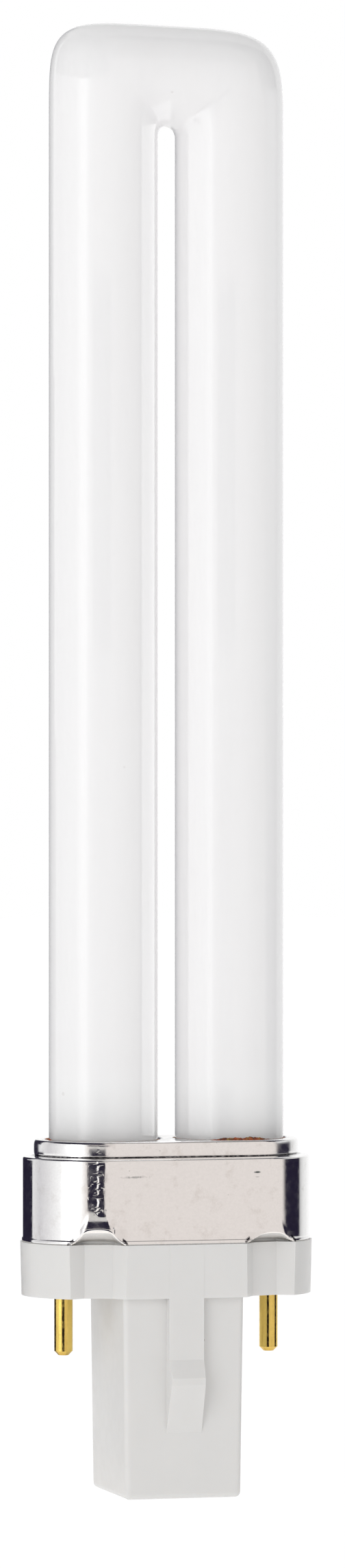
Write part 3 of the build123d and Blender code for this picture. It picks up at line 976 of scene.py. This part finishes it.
def make_world():
    """White where it is seen, and a soft ambient light that is stronger from behind and from overhead."""
    world = bpy.data.worlds.new("studio")
    world.use_nodes = True
    bpy.context.scene.world = world
    tree = world.node_tree
    tree.nodes.clear()
    parts = split(tree, add(tree, "ShaderNodeTexCoord").outputs["Generated"])
    level = ease(tree, parts["Y"], *REAR_FADE, AMBIENT_FRONT, AMBIENT_REAR)
    strength = calc(tree, "MULTIPLY", level, ease(tree, parts["Z"], *OVERHEAD_FADE, 1, OVERHEAD_SHARE))
    ambient = add(tree, "ShaderNodeBackground", {"Color": WHITE, "Strength": strength})
    white = add(tree, "ShaderNodeBackground", {"Color": WHITE, "Strength": 1})
    links = {0: seen_directly(tree), 1: ambient.outputs[0], 2: white.outputs[0]}
    mixed = add(tree, "ShaderNodeMixShader", links)
    add(tree, "ShaderNodeOutputWorld", {"Surface": mixed.outputs[0]})


def stage_mesh(name, points, faces):
    """A stage piece from points in millimetres, with an empty material tree."""
    mesh = bpy.data.meshes.new(name)
    mesh.from_pydata([tuple(p) for p in np.array(points) * MM], [], faces)
    material = bpy.data.materials.new(name)
    material.use_nodes = True
    material.node_tree.nodes.clear()
    mesh.materials.append(material)
    piece = place(name, mesh)
    return piece, material.node_tree


FLOOR_HALF_SIZE = 3000
FLOOR_COLOUR = (0.9, 0.9, 0.9, 1)
# Share of the light table's own glow, where it is seen and where it lights the lamp
FLOOR_SEEN_GLOW = 0.85
FLOOR_LIGHT_GLOW = 0.6
FLOOR_GLOW_STRENGTH = 1.1


def make_floor():
    """Pale light table that reads white and keeps the lamp's shadow."""
    signs = ((-1, -1), (1, -1), (1, 1), (-1, 1))
    corners = [(x * FLOOR_HALF_SIZE, y * FLOOR_HALF_SIZE, table_z) for x, y in signs]
    _, tree = stage_mesh("floor", corners, [(0, 1, 2, 3)])
    glow_share = ease(tree, seen_directly(tree), 0, 1, FLOOR_LIGHT_GLOW, FLOOR_SEEN_GLOW)
    pale = add(tree, "ShaderNodeBsdfDiffuse", {"Color": FLOOR_COLOUR})
    glow = add(tree, "ShaderNodeEmission", {"Color": WHITE, "Strength": FLOOR_GLOW_STRENGTH})
    mixed = add(tree, "ShaderNodeMixShader", {0: glow_share, 1: pale.outputs[0], 2: glow.outputs[0]})
    add(tree, "ShaderNodeOutputMaterial", {"Surface": mixed.outputs[0]})


# Cards that only reflections see. Azimuths are in degrees from the front towards the lamp's left.
NAVY = (0.016, 0.013, 0.03)
DUSK = (0.1, 0.11, 0.14)
BEIGE = (0.79, 0.735, 0.705)
GREY = (0.62, 0.6, 0.58)
TABLE_LIGHT = (1.05, 1.01, 0.97)
FRONT_CEILING = (0.35, 0.33, 0.32)
REAR_CEILING = (0.6, 0.6, 0.6)
CARD_STEPS = 96
ALL_ROUND = (-180, 180)
PANORAMA_DISTANCE = 280
CEILING_HEIGHT = 330
LAYER_GAP = 1
TABLE_GAP = 0.5
CENTRE_GAP = 1
# Colour by azimuth round the lamp, in order
PANORAMA = (
    (-180, DUSK),
    (-172, (1, 1, 1)),
    (-140, (1, 1, 1)),
    (-116, (0.82, 0.82, 0.82)),
    (-106, (0.6, 0.6, 0.6)),
    (-102, NAVY),
    (-72, NAVY),
    (-66, BEIGE),
    (36, BEIGE),
    (46, (1.2, 1.2, 1.2)),
    (52, (2.5, 2.5, 2.5)),
    (62, (2.4, 2.4, 2.4)),
    (74, (1.03, 1.03, 1.03)),
    (97, (0.78, 0.77, 0.78)),
    (115, (0.66, 0.65, 0.67)),
    (126, (0.76, 0.75, 0.76)),
    (140, (0.85, 0.85, 0.86)),
    (152, (0.3, 0.31, 0.34)),
    (172, DUSK),
    (180, DUSK),
)
# Cards in front of the lamp, from the table up, and what lies on the table before them
FRONT_CARD = (5, 35)
FRONT_CARD_TOP = 10
FRONT_UPPER = (0, 38)
FRONT_UPPER_FOOT = 75
FRONT_UPPER_TOP = 130
FRONT_SHADE_START = 52
FRONT_TABLE = (-68, 5)
UNDER_LAMP_REACH = 38
RIGHT_SHADE = (-102, -70)
# Card on the right that grows paler with height, and dark cards over both sides
RIGHT_CARD = (-103, -71)
RIGHT_CARD_FADE = (15, 120)
RIGHT_CARD_LIGHT = (0.8, 0.8, 0.8, 1)
UPPER_DARK_FOOT = 175
UPPER_DARK = {"left": (5, 135), "right": (-110, -60)}
REAR = (100, 260)
# Dark cards close behind the left leg, which the right leg can't see: foot, top and azimuths
LEFT_CARD_DISTANCE = 24.6
LEFT_CARDS = (
    (-21, 14.4, (105, 142)),
    (14.4, 17, (119, 142)),
    (17, 60, (111, 142)),
    (60, 100, (115, 142)),
    (100, 150, (120, 142)),
)
# Pale card in the slit, which the legs' inner flanks reflect
SLIT_CARD_DEPTHS = (-6.2, -1.9)
SLIT_CARD_HEIGHTS = (17, slit_end_z - 0.1)
SLIT_CARD_LIGHT = (2, 2, 2, 1)


def around(azimuth, distance, z):
    """Point at an azimuth about the lamp's axis."""
    turn = math.radians(azimuth)
    return -math.sin(turn) * distance, -math.cos(turn) * distance, z


def reflected_only(piece):
    """Leaves a card to be seen by mirror rays alone."""
    piece.visible_camera = False
    piece.visible_diffuse = False
    piece.visible_shadow = False
    piece.visible_transmission = False


def glow_output(tree, colour):
    """Ends a card's tree with a plain glow."""
    glow = add(tree, "ShaderNodeEmission", {"Color": colour, "Strength": 1})
    add(tree, "ShaderNodeOutputMaterial", {"Surface": glow.outputs[0]})


def card(name, lower, upper, reach):
    """Tree of a curved card between two arcs about the lamp, each by its distance and height."""
    azimuths = np.linspace(*reach, CARD_STEPS)
    points = [around(azimuth, *edge) for edge in (lower, upper) for azimuth in azimuths]
    faces = [(i, i + 1, i + CARD_STEPS + 1, i + CARD_STEPS) for i in range(CARD_STEPS - 1)]
    piece, tree = stage_mesh(name, points, faces)
    reflected_only(piece)
    return tree


def make_panorama(foot):
    """Wall of soft colours all round the lamp."""
    tree = card("panorama", (PANORAMA_DISTANCE, foot), (PANORAMA_DISTANCE, CEILING_HEIGHT), ALL_ROUND)
    parts = split(tree, surface_mm(tree))
    left, front = (calc(tree, "MULTIPLY", parts[axis], -1) for axis in "XY")
    azimuth = calc(tree, "DEGREES", calc(tree, "ARCTAN2", left, front))
    start, end = ALL_ROUND
    share = calc(tree, "DIVIDE", calc(tree, "SUBTRACT", azimuth, start), end - start)
    ramp = add(tree, "ShaderNodeValToRGB", {"Fac": share})
    stops = ramp.color_ramp.elements
    while len(stops) < len(PANORAMA):
        stops.new(0.5)
    for stop, (degrees, colour) in zip(stops, PANORAMA):
        stop.position = (degrees - start) / (end - start)
        stop.color = (*colour, 1)
    glow_output(tree, ramp.outputs["Color"])


def make_right_card(distance):
    """Card on the right, dark at its foot and paler upwards."""
    tree = card("right_card", (distance, RIGHT_CARD_FADE[0]), (distance, UPPER_DARK_FOOT), RIGHT_CARD)
    share = ease(tree, height_z(tree), *RIGHT_CARD_FADE)
    glow_output(tree, blend(tree, share, (*NAVY, 1), RIGHT_CARD_LIGHT))


def make_slit_card():
    """Flat card that stands in the slit between the legs."""
    corners = [(0, y, z) for z in SLIT_CARD_HEIGHTS for y in SLIT_CARD_DEPTHS]
    slit_card, tree = stage_mesh("slit_card", corners, [(0, 1, 3, 2)])
    reflected_only(slit_card)
    glow_output(tree, SLIT_CARD_LIGHT)


def make_cards():
    """All cards about the lamp, in layers that clear each other."""
    foot = table_z + TABLE_GAP
    far = PANORAMA_DISTANCE
    near = far - LAYER_GAP
    top = CEILING_HEIGHT
    rear_z = top - LAYER_GAP
    dark_z = rear_z - LAYER_GAP
    make_panorama(foot)
    make_right_card(near)
    make_slit_card()
    # Name, lower and upper arcs by distance and height, azimuths and colour
    plain_cards = [
        ("front_card", (near, foot), (near, FRONT_CARD_TOP), FRONT_CARD, NAVY),
        ("front_middle", (near, FRONT_CARD_TOP), (near, FRONT_UPPER_FOOT), FRONT_CARD, GREY),
        ("front_upper", (near, FRONT_UPPER_FOOT), (near, FRONT_UPPER_TOP), FRONT_UPPER, NAVY),
        ("front_shade", (FRONT_SHADE_START, foot), (near, foot), FRONT_CARD, NAVY),
        ("front_table", (UNDER_LAMP_REACH, foot), (near, foot), FRONT_TABLE, BEIGE),
        ("under_lamp", (CENTRE_GAP, foot), (UNDER_LAMP_REACH, foot), ALL_ROUND, TABLE_LIGHT),
        ("right_shade", (UNDER_LAMP_REACH, foot), (near, foot), RIGHT_SHADE, NAVY),
        ("ceiling", (far, top), (CENTRE_GAP, top), ALL_ROUND, FRONT_CEILING),
        ("rear_ceiling", (near, rear_z), (CENTRE_GAP, rear_z), REAR, REAR_CEILING),
    ]
    for side, reach in UPPER_DARK.items():
        plain_cards.append((f"upper_dark_{side}", (near, UPPER_DARK_FOOT), (near, top), reach, NAVY))
        plain_cards.append((f"ceiling_dark_{side}", (near, dark_z), (CENTRE_GAP, dark_z), reach, NAVY))
    beside = LEFT_CARD_DISTANCE
    for number, (low, high, reach) in enumerate(LEFT_CARDS):
        plain_cards.append((f"left_card_{number}", (beside, low), (beside, high), reach, NAVY))
    for name, lower, upper, reach, colour in plain_cards:
        glow_output(card(name, lower, upper, reach), (*colour, 1))


LAMP_AIM = 60
LAMP_AZIMUTH = 43
LAMP_HEIGHT = 110
LAMP_DISTANCE = 500
LAMP_WIDTH = 300
LAMP_TALLNESS = 500
LAMP_RADIANCE = 1.8


def make_lamp():
    """A soft lamp on the left, aimed at the glass. Reflections show the cards in its place."""
    lamp = place("left_lamp", bpy.data.lights.new("left_lamp", "AREA"))
    lamp.data.shape = "RECTANGLE"
    lamp.data.size, lamp.data.size_y = LAMP_WIDTH * MM, LAMP_TALLNESS * MM
    lamp.data.energy = LAMP_RADIANCE * math.pi * lamp.data.size * lamp.data.size_y
    lamp.location = Vector(around(LAMP_AZIMUTH, LAMP_DISTANCE, LAMP_HEIGHT)) * MM
    aim = Vector((0, 0, LAMP_AIM * MM)) - lamp.location
    lamp.rotation_euler = aim.to_track_quat("-Z", "Y").to_euler()
    lamp.visible_glossy = False


make_camera()
make_world()
make_floor()
make_cards()
make_lamp()

cement = basing_cement()
make_discharge_tube()
make_collar()
make_cement_plug(cement)
for side in BEADS:
    make_bead(side, cement)

plastic, brass, wire = cap_plastic(), pin_brass(), lead_wire()
FINISHES = {
    "base_housing": plastic,
    "pin_left": brass,
    "pin_right": brass,
    "starter_bulb": starter_glass(),
    "capacitor": capacitor_coat(),
    "lead_pin_left": wire,
    "lead_pin_right": wire,
    "lead_starter_left": wire,
    "lead_starter_right": wire,
}
for node, finish in FINISHES.items():
    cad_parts[node].data.materials[0] = finish

bpy.context.scene.view_settings.view_transform = "Standard"
